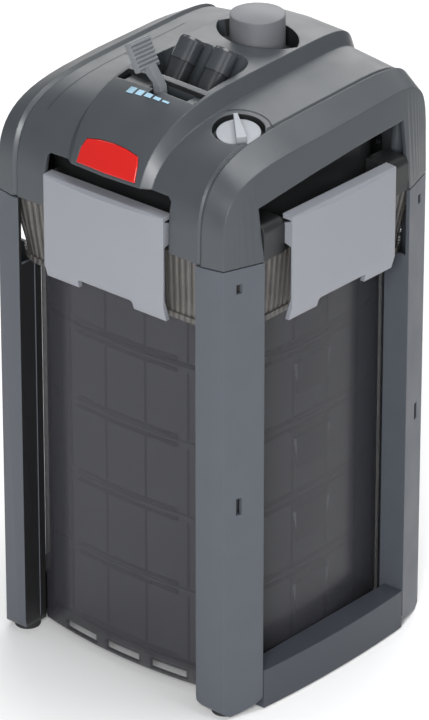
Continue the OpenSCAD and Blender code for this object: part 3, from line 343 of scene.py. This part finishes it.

# ----------------------------------------------------- legs, rails and feet
# Four folded corner legs and two low side rails carry the canister. They are
# moulded in cool grey plastic with a satin mould texture, screwed to the rails,
# and stand on feet pushed into webs. Their inward faces are painted near-black
# as painted shade.

leg_grey = moulded("leg grey", tone(76, 80, 87), 0.42, grain=1100, rub=0.45,
                   values={"Specular IOR Level": 0.3})
rail_grey = moulded("rail grey", tone(60, 64, 71), 0.42, grain=1100, rub=0.45,
                    values={"Specular IOR Level": 0.3})
foot_rubber = moulded("foot rubber", tone(34, 34, 35), 0.75, grain=700, depth=0.00006, rub=0.15, uneven=0.18)
steel = moulded("stainless steel", tone(190, 190, 194), 0.26, grain=2500, depth=0.00001, rub=0.5,
                values={"Metallic": 1.0})

# Near-black painted shade for the legs' inward faces.
inner_face_shade_black = moulded("leg inner face painted shade", tone(15, 15, 17), 0.6, grain=700, rub=0.1)


def shade_inside_faces(leg):
    """Paints a leg's inward faces near-black, as painted shade."""
    leg.data.materials.append(inner_face_shade_black)
    middle = sum(v.co.x for v in leg.data.vertices) / len(leg.data.vertices)
    for face in leg.data.polygons:
        if face.normal.x * (1 if middle > 0 else -1) < -0.7:
            face.material_index = 1


for side in ("front_left", "front_right", "rear_left", "rear_right"):
    shade_inside_faces(finished("leg_" + side, "corner_leg_" + side, leg_grey, edge=0.0007, sharp=28))
for side in ("left", "right"):
    finished("rail_" + side, "side_rail_" + side, rail_grey, edge=0.0009, sharp=28)
finished("rubber_feet", "round_feet", foot_rubber, edge=0.0012, segments=3)
finished("rail_screws", "rail_screw_set", steel, edge=0.0004)

# ------------------------------------------------- baskets, media and pipe
# Stacked baskets hold the media, each with upright ribs, a rim and a pair of
# latch handles on its sides. Tubes of fired ceramic lie in the lowest, then
# coarse foam, fine foam and floss, and a prefilter foam in the top tray.

basket_grey = moulded("basket grey", tone(168, 169, 174), 0.5, grain=800, depth=0.00003, rub=0.3)
pipe_black = moulded("pipe black", tone(44, 45, 47), 0.42, rub=0.3)
gasket_black = moulded("gasket black", tone(24, 24, 25), 0.68, grain=600, depth=0.00004, rub=0.1)
fired_ceramic = moulded("fired ceramic", tone(222, 216, 202), 0.85, grain=1600, depth=0.00018, rub=0.2,
                        uneven=0.14)


def bar(work, low, high):
    """Adds one moulded bar, filling the box between two corners."""
    made = bmesh.ops.create_cube(work, size=1.0)["verts"]
    size = [b - a for a, b in zip(low, high)]
    middle = [(a + b) / 2 for a, b in zip(low, high)]
    bmesh.ops.scale(work, vec=size, verts=made)
    bmesh.ops.translate(work, vec=middle, verts=made)
    return made


def bar_mesh(name, boxes, round_edge, segments=2):
    work = bmesh.new()
    for low, high in boxes:
        bar(work, low, high)
    bmesh.ops.bevel(work, geom=work.edges[:], offset=round_edge, segments=segments, profile=0.5,
                    affect="EDGES", material=-1)
    mesh = bpy.data.meshes.new(name)
    work.to_mesh(mesh)
    work.free()
    mesh.shade_smooth()
    mesh.set_sharp_from_angle(angle=math.radians(35))
    return link_object(name, mesh)


wall_bow = 0.395        # radius that a basket's walls bow out with
rib_half = 0.0007
rib_places = (-0.0555, -0.0185, 0.0185, 0.0555)
rim_run = 0.0235        # length of one straight run of the rims
rim_starts = (-0.047, -0.0235, 0.0, 0.0235)
rim_h = 0.003


def wall_span(face, turn):
    """From the sunk side to the proud side of a rib on a wall, lower value first."""
    sunk, proud = 0.0012, 0.0013
    return (face - sunk, face + proud) if turn > 0 else (-face - proud, -face + sunk)


def basket_dress(part, name):
    """Ribs, rims and latch handles that stand out from a basket's walls."""
    low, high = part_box(part)
    boxes = []
    for turn in (-1, 1):
        for at in rib_places:
            sag = at * at / (2 * wall_bow)
            x0, x1 = wall_span(high.x - sag, turn)
            y0, y1 = wall_span(high.y - sag, turn)
            foot, head = low.z + 0.001, high.z - 0.004
            boxes.append(((at - rib_half, y0, foot), (at + rib_half, y1, head)))
            boxes.append(((x0, at - rib_half, foot), (x1, at + rib_half, head)))
        for start in rim_starts:
            sag = (start + rim_run / 2) ** 2 / (2 * wall_bow)
            x0, x1 = wall_span(high.x - sag, turn)
            y0, y1 = wall_span(high.y - sag, turn)
            for level in (high.z - 0.0045, low.z + 0.0005):
                boxes.append(((start, y0, level), (start + rim_run, y1, level + rim_h)))
                boxes.append(((x0, start, level), (x1, start + rim_run, level + rim_h)))
    dress = bar_mesh(name, boxes, 0.0003, 1)
    dress.data.materials.append(rib_shade_grey)
    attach(dress, body_of(part))
    latch_half, latch_reach, latch_taper = 0.001, 0.021, 0.72
    work = bmesh.new()
    for turn in (-1, 1):
        middle = turn * (high.x + 0.0016)
        plate = bar(work, (middle - latch_half, -latch_reach, high.z - 0.036),
                    (middle + latch_half, latch_reach, high.z - 0.010))
        for v in plate:
            if v.co.z < high.z - 0.03:
                v.co.y *= latch_taper
    bmesh.ops.bevel(work, geom=work.edges[:], offset=0.0006, segments=2, profile=0.5,
                    affect="EDGES", material=-1)
    mesh = bpy.data.meshes.new(name + "_latches")
    work.to_mesh(mesh)
    work.free()
    mesh.shade_smooth()
    latch = link_object(name + "_latches", mesh)
    seat(latch, body_of(part), latch_pale, slot_of[part])


# The ribs and rims are painted darker than the basket walls, as painted shade along them.
rib_shade_grey = moulded("rib painted shade grey", tone(96, 97, 101), 0.5, rub=0.3)
latch_pale = moulded("latch pale", tone(120, 121, 125), 0.45, rub=0.3)
for number, part in enumerate(("basket_1", "basket_2", "basket_3", "basket_4", "prefilter_tray"), 1):
    finished(part, f"media_basket_{number}", basket_grey, edge=0, sharp=30)
    basket_dress(part, f"basket_ribs_{number}")


def open_cell(name, colour, cell, depth):
    """Open-cell foam or floss: painted shade darkens the pores' hollows, with deep soft relief."""
    material = bpy.data.materials.new(name)
    material.use_nodes = True
    tree = material.node_tree
    shader = tree.nodes["Principled BSDF"]
    shader.inputs["Roughness"].default_value = 0.95
    shader.inputs["Sheen Weight"].default_value = 0.3
    place = tree.nodes.new("ShaderNodeTexCoord")
    pore = node(tree, "ShaderNodeTexVoronoi", {"feature": "F1"}, {"Scale": cell})
    slow = node(tree, "ShaderNodeTexNoise", {}, {"Scale": 45.0, "Detail": 4.0})
    mix = node(tree, "ShaderNodeMix", {"data_type": "RGBA"})
    mix.inputs[6].default_value = colour
    mix.inputs[7].default_value = tuple(c * 0.4 for c in colour[:3]) + (1.0,)
    # Painted shade in the pores, varied by a slow random mottle.
    pore_shade_and_mottle = node(tree, "ShaderNodeMath", {"operation": "MULTIPLY"})
    bump = node(tree, "ShaderNodeBump", {"invert": True}, {"Strength": 1.0, "Distance": depth})
    link = tree.links.new
    link(place.outputs["Object"], pore.inputs["Vector"])
    link(place.outputs["Object"], slow.inputs["Vector"])
    link(pore.outputs["Distance"], pore_shade_and_mottle.inputs[0])
    link(slow.outputs["Fac"], pore_shade_and_mottle.inputs[1])
    link(pore_shade_and_mottle.outputs["Value"], mix.inputs["Factor"])
    link(mix.outputs[2], shader.inputs["Base Color"])
    link(pore.outputs["Distance"], bump.inputs["Height"])
    link(bump.outputs["Normal"], shader.inputs["Normal"])
    return material


def soft_pad(part, name, finish, soft):
    pad = finished(part, name, finish, edge=soft, sharp=40, segments=4)


finished("ceramic_tubes", "ceramic_tube_bed", fired_ceramic, edge=0.0004, segments=1)
coarse_blue = open_cell("coarse foam", tone(66, 86, 128), 420, 0.0009)
fine_cream = open_cell("fine foam", tone(206, 204, 190), 800, 0.0005)
floss_white = open_cell("floss", tone(236, 236, 232), 260, 0.0014)
prefilter_blue = open_cell("prefilter foam", tone(52, 92, 134), 330, 0.001)
soft_pad("coarse_foam", "coarse_foam_pad", coarse_blue, 0.0025)
soft_pad("fine_foam", "fine_foam_pad", fine_cream, 0.0025)
soft_pad("fleece_pad", "floss_pad", floss_white, 0.005)
soft_pad("prefilter_foam", "prefilter_foam_pad", prefilter_blue, 0.003)
finished("intake_pipe", "intake_tube", pipe_black, edge=0.0004)
finished("pipe_seal", "pipe_gasket", gasket_black, edge=0.0006)

# ------------------------------------------------- head base, seal and pump
# The base plate plugs the canister's mouth on a square-section ring seal, and
# carries the wall and lugs behind the clips. Under the cover it holds the
# sealed stator over the rotor's well, and the priming pump's barrel.

base_grey = moulded("base grey", tone(30, 31, 32), 0.45, rub=0.4)
stator_black = moulded("stator black", tone(40, 42, 44), 0.5, grain=500, depth=0.00006, rub=0.3)
ferrite = moulded("coated ferrite", tone(50, 50, 54), 0.38, rub=0.4)
polished_ceramic = moulded("polished ceramic", tone(238, 238, 234), 0.12, grain=400, depth=0.000004, rub=0.0)
barrel_grey = moulded("barrel grey", tone(120, 124, 128), 0.4, rub=0.3)
finished("head_base", "plug_plate", base_grey, edge=0, sharp=30)
finished("head_seal", "ring_seal", gasket_black, edge=0.0008)
finished("head_screws", "cover_screw_set", steel, edge=0.0004)
finished("motor_housing", "sealed_stator", stator_black, edge=0.0008)
finished("rotor", "magnet_and_impeller", ferrite, edge=0, sharp=30)
finished("rotor_shaft", "ceramic_shaft", polished_ceramic, edge=0.0003)
finished("shaft_bushes", "shaft_bush_pair", gasket_black, edge=0.0004)
finished("impeller_cover", "pump_inlet_cover", pipe_black, edge=0.0005)
finished("pump_barrel", "priming_barrel", barrel_grey, edge=0.0005)
finished("piston", "priming_piston", base_grey, edge=0.0005)
finished("piston_seal", "piston_ring", gasket_black, edge=0.0003)
finished("return_spring", "button_spring", steel, edge=0, sharp=80)
finished("cable_gland", "cord_gland", gasket_black, edge=0.0005)

# -------------------------------------------------------------- head cover
# The cover is one big moulding in satin anthracite: a raised ridge along the
# middle, a band round the top with a groove inside it, and arches over the
# clips. A fine spark-eroded grain covers all of it.

anthracite = moulded("satin anthracite", tone(62, 66, 70), 0.38, grain=1300, depth=0.000035, rub=0.30,
                     edge=0.0013, uneven=0.07)


def lengthwise_creases(mesh):
    """Keeps the creases that run from front to back crisp, down to 11 degrees."""
    work = bmesh.new()
    work.from_mesh(mesh)
    for e in work.edges:
        along = e.verts[1].co - e.verts[0].co
        lengthwise = abs(along.x) < 0.3 * along.length
        if len(e.link_faces) == 2 and e.calc_face_angle(0) > math.radians(11) and lengthwise:
            e.smooth = False
    work.to_mesh(mesh)
    work.free()


cover = finished("head_cover", "pump_head_cover", anthracite, edge=0, sharp=30, creases=lengthwise_creases)


cover_skin_mesh = worked_mesh("head_cover")
bmesh.ops.triangulate(cover_skin_mesh, faces=cover_skin_mesh.faces)
cover_skin = BVHTree.FromBMesh(cover_skin_mesh)
cover_skin_mesh.free()


def laid_on(name, points_rows, lift, finish):
    """A thin printed strip, or a dark strip that paints the shade of a scored line, laid on the cover from
    straight above.
    Each row is a pair of outline points, left and right of the strip."""
    work = bmesh.new()
    rows = []
    for pair in points_rows:
        row = []
        for x, y in pair:
            hit = cover_skin.ray_cast(Vector((x, y, 1.0)), Vector((0, 0, -1)))
            if hit[0] is None:
                row = None
                break
            row.append(work.verts.new(hit[0] + hit[1] * lift))
        if row:
            rows.append(row)
    for row in rows:
        work.edges.new(row)
    for a, b in zip(rows, rows[1:]):
        if max(abs(a[0].co.z - b[0].co.z), abs(a[1].co.z - b[1].co.z)) < 0.004:
            face = work.faces.new((a[0], a[1], b[1], b[0]))
            face.normal_update()
            if face.normal.z < 0:
                face.normal_flip()
    bmesh.ops.delete(work, geom=[v for v in work.verts if not v.link_faces], context="VERTS")
    mesh = bpy.data.meshes.new(name)
    work.to_mesh(mesh)
    work.free()
    mesh.shade_smooth()
    piece = link_object(name, mesh)
    piece.data.materials.append(finish)
    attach(piece, "head")
    return piece


def strip_between(ends, width, steps):
    (x0, y0), (x1, y1) = ends
    length = math.hypot(x1 - x0, y1 - y0)
    nx, ny = -(y1 - y0) / length * width / 2, (x1 - x0) / length * width / 2
    rows = []
    for i in range(steps + 1):
        k = i / steps
        x, y = x0 + (x1 - x0) * k, y0 + (y1 - y0) * k
        rows.append(((x + nx, y + ny), (x - nx, y - ny)))
    return rows


def arc_strip(centre, radius, start, end, width, steps):
    rows = []
    for i in range(steps + 1):
        a = math.radians(start + (end - start) * i / steps)
        c, s = math.cos(a), math.sin(a)
        rows.append(((centre[0] + (radius + width / 2) * c, centre[1] + (radius + width / 2) * s),
                     (centre[0] + (radius - width / 2) * c, centre[1] + (radius - width / 2) * s)))
    return rows


# ------------------------------------------------------ marks on the cover
# A plain scale of five blocks, shrinking to the right, is printed in front of
# the lever, and a thin arc with a short tail runs round the back of the dial.
# Four dots mark the troughs, and a fine scored seam turns a corner on the left
# slope. The arc and the seam are dark strips, painted shade for scored lines.

# Dark strips painted as the shade inside scored lines.
scored_line_shade = moulded("painted shade of scored line", tone(26, 28, 29), 0.6, rub=0.0)
print_blue = moulded("pale blue print", tone(150, 186, 206), 0.5, rub=0.0, uneven=0.12)
bars_y = -0.0675
block_start, block_pitch, block_w = -0.0178, 0.0078, 0.0058
tallest, shrink = 0.0062, 0.0011
for i in range(5):
    left = block_start + i * block_pitch
    block = strip_between(((left, bars_y), (left + block_w, bars_y)), tallest - i * shrink, 4)
    laid_on(f"scale_block_{i + 1}", block, 0.00035, print_blue)


def plan_middle(part):
    low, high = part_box(part)
    return (low.x + high.x) / 2, (low.y + high.y) / 2


dial_middle = plan_middle("flow_dial")
laid_on("dial_arc", arc_strip(dial_middle, 0.0225, 48, 152, 0.0008, 60), 0.0003, scored_line_shade)
laid_on("dial_arc_tail", strip_between(((dial_middle[0] + 0.0152, dial_middle[1] + 0.0168),
                                        (dial_middle[0] + 0.0192, dial_middle[1] + 0.0205)), 0.0008, 6),
        0.0003, scored_line_shade)
seam_x, seam_turn_y, seam_w, seam_lift = -0.0715, -0.0125, 0.0006, 0.00008
seam_along = strip_between(((seam_x, -0.092), (seam_x, 0.052)), seam_w, 60)
seam_across = strip_between(((seam_x, seam_turn_y), (-0.052, seam_turn_y)), seam_w, 14)
laid_on("slope_seam_long", seam_along, seam_lift, scored_line_shade)
laid_on("slope_seam_short", seam_across, seam_lift, scored_line_shade)

dot_w = 0.0009
for i in range(4):
    at = (i * 0.0028 - 0.001, -0.0015 + 0.0006 * i)
    dot = strip_between((at, (at[0] + dot_w, at[1])), dot_w, 1)
    laid_on(f"trough_dot_{i + 1}", dot, 0.0002, print_blue)

# The upright walls of the dial's and the button's recess and of the lever's
# slot are painted almost black, as painted shade in the recesses.
recess_painted_shade = moulded("recess painted shade", tone(28, 30, 31), 0.5, rub=0.1)
cover.data.materials.append(recess_painted_shade)
slot_y = plan_middle("slot_plate")[1]
round_recesses = ((dial_middle, 0.0195), (plan_middle("priming_button"), 0.034))
for face in cover.data.polygons:
    if abs(face.normal.z) < 0.5 and face.center.z > 0.4:
        in_round = any(math.dist(face.center[:2], middle) < reach for middle, reach in round_recesses)
        in_slot = abs(face.center.x) < 0.036 and abs(face.center.y - slot_y) < 0.008
        if in_round or in_slot:
            face.material_index = 1

# ------------------------------------------------------------------- clips
# Four sprung clips hold the head down. Each is a broad bowed plate in
# silver-grey plastic with a fine satin grain, hung on a steel pin between
# lugs, and a finger notch is cut from its lower edge.

clip_silver = moulded("satin silver clip", tone(132, 134, 141), 0.40, grain=1250, depth=0.00010, rub=0.25,
                      uneven=0.05, values={"Metallic": 0.12})
for side in ("front", "right", "rear", "left"):
    finished("clip_" + side, side + "_clip_plate", clip_silver, edge=0.0008, sharp=24, segments=3)
finished("hinge_pins", "clip_pin_set", steel, edge=0.0004)

# ------------------------------------------------------ flow window and flag
# A glossy red window sits in the front of the ridge, with a bright bevelled
# edge. Behind it a small flag hangs on a pin and lifts as the water flows.

red_clear = moulded("glossy red", tone(188, 20, 14), 0.10, grain=150, depth=0.000004, rub=0.4, edge=0.0012,
                    uneven=0.04, values={"Coat Weight": 0.6, "Coat Roughness": 0.05})
flag_yellow = moulded("flag yellow", tone(206, 178, 62), 0.35)
finished("flow_window", "red_flow_window", red_clear, edge=0.0008, sharp=22)
finished("flag_bracket", "flag_holder", pipe_black, edge=0.0004)
finished("flow_flag", "hanging_flag", flag_yellow, edge=0.0004)
finished("flag_pin", "flag_pivot", steel, edge=0.0002)

# ---------------------------------------------------------------- flow dial
# The dial is a pale round knob with a tapered fin across it, deep in a dark
# recess. Its spindle turns the bypass disc below.

dial_pale = moulded("dial pale", tone(152, 156, 161), 0.36, grain=900, depth=0.00003, rub=0.2, edge=0.0006)
finished("flow_dial", "dial_knob", dial_pale, edge=0, sharp=24)
finished("dial_spindle", "dial_stem", steel, edge=0.0003)
finished("bypass_disc", "bypass_plate", dial_pale, edge=0.0004)

# ------------------------------------------------------------ priming button
# The button is a tall pale cap with a shallow dome and a coarse grip grain.
# Pushed down against its spring, it pumps water into the canister.

button_pale = moulded("button pale", tone(102, 104, 108), 0.48, grain=650, depth=0.00012, rub=0.2,
                      edge=0.0015)
finished("priming_button", "button_cap", button_pale, edge=0.0016, sharp=26, segments=4)

# -------------------------------------------------------- lever and its slot
# The shut-off lever is a cranked stem with a ribbed paddle, pale grey, on a
# steel shaft. Plates close its slot, and a cam on the shaft holds the adapter.

lever_pale = moulded("lever pale", tone(106, 109, 113), 0.40, grain=900, depth=0.00004, rub=0.2)
slot_grey = moulded("slot grey", tone(70, 73, 75), 0.42)
finished("shutoff_lever", "lever_and_paddle", lever_pale, edge=0.0004, sharp=34)
finished("lever_shaft", "lever_axle", steel, edge=0.0004)
finished("lock_cam", "adapter_cam", base_grey, edge=0.0004)
finished("slot_plate", "slot_closer", slot_grey, edge=0.0005)

# ----------------------------------------------- hose adapter and hose tails
# Both hoses plug on through one adapter in the bay behind the lever. Its two
# tails are dark satin plastic and lean back, each a sleeve with a bored end.

adapter_black = moulded("adapter black", tone(42, 44, 47), 0.2, rub=0.3)
tail_gloss = moulded("tail gloss", tone(52, 55, 59), 0.26, grain=900, depth=0.00001, rub=0.3, edge=0.0006,
                     values={"Coat Weight": 0.3, "Coat Roughness": 0.12})
finished("hose_adapter", "twin_hose_adapter", adapter_black, edge=0.0006)
finished("hose_tail_in", "hose_tail_left", tail_gloss, edge=0, sharp=20)
finished("hose_tail_out", "hose_tail_right", tail_gloss, edge=0, sharp=20)
finished("adapter_seals", "adapter_ring_pair", gasket_black, edge=0.0003)

# ------------------------------------------------------------------- studio
# The filter stands on a pale floor under soft lamps, and a long lens looks
# down on it from the front right.

floor_mesh = bpy.data.meshes.new("studio_floor")
sweep = bmesh.new()
bmesh.ops.create_grid(sweep, x_segments=2, y_segments=2, size=9.0)
sweep.to_mesh(floor_mesh)
sweep.free()
studio_floor = link_object("studio_floor", floor_mesh)
floor_white = bpy.data.materials.new("floor white")
floor_white.use_nodes = True
floor_white.node_tree.nodes["Principled BSDF"].inputs["Base Color"].default_value = (0.95, 0.95, 0.95, 1)
floor_white.node_tree.nodes["Principled BSDF"].inputs["Roughness"].default_value = 0.9
studio_floor.data.materials.append(floor_white)

world = bpy.data.worlds.new("studio")
bpy.context.scene.world = world
world.use_nodes = True
world.node_tree.nodes["Background"].inputs["Color"].default_value = (0.95, 0.97, 1.0, 1)
world.node_tree.nodes["Background"].inputs["Strength"].default_value = 0.26


def soft_lamp(name, place, aim, size, power):
    lamp = bpy.data.lights.new(name, "AREA")
    lamp.shape = "RECTANGLE"
    lamp.size, lamp.size_y = size
    lamp.energy = power
    made = bpy.data.objects.new(name, lamp)
    bpy.context.scene.collection.objects.link(made)
    made.location = place
    made.rotation_euler = (Vector(aim) - Vector(place)).to_track_quat("-Z", "Y").to_euler()


middle = (0, 0, 0.25)
soft_lamp("front_bank", (1.35, -2.05, 1.3), middle, (0.9, 1.2), 66)
soft_lamp("right_bank", (2.4, -0.3, 1.2), middle, (0.7, 1.3), 5)
soft_lamp("top_bank", (0.3, 0.3, 2.2), middle, (1.2, 1.2), 25)
soft_lamp("back_bank", (-1.4, 2.2, 1.0), middle, (1.6, 1.2), 10)
soft_lamp("floor_bank", (-1.8, 2.8, 2.2), (-1.9, 2.9, 0), (3.0, 2.4), 90)

lens = bpy.data.cameras.new("long_lens")
lens.sensor_fit = "VERTICAL"
lens.sensor_height = 36
lens.lens = 261.7
lens.clip_end = 30
viewer = bpy.data.objects.new("long_lens", lens)
bpy.context.scene.collection.objects.link(viewer)
viewer.location = (2.2012, -2.5209, 1.8925)
looked_at = Vector((0.0010, 0.0009, 0.2105))
viewer.rotation_euler = (looked_at - viewer.location).to_track_quat("-Z", "Y").to_euler()
bpy.context.scene.camera = viewer
bpy.context.scene.view_settings.view_transform = "Standard"
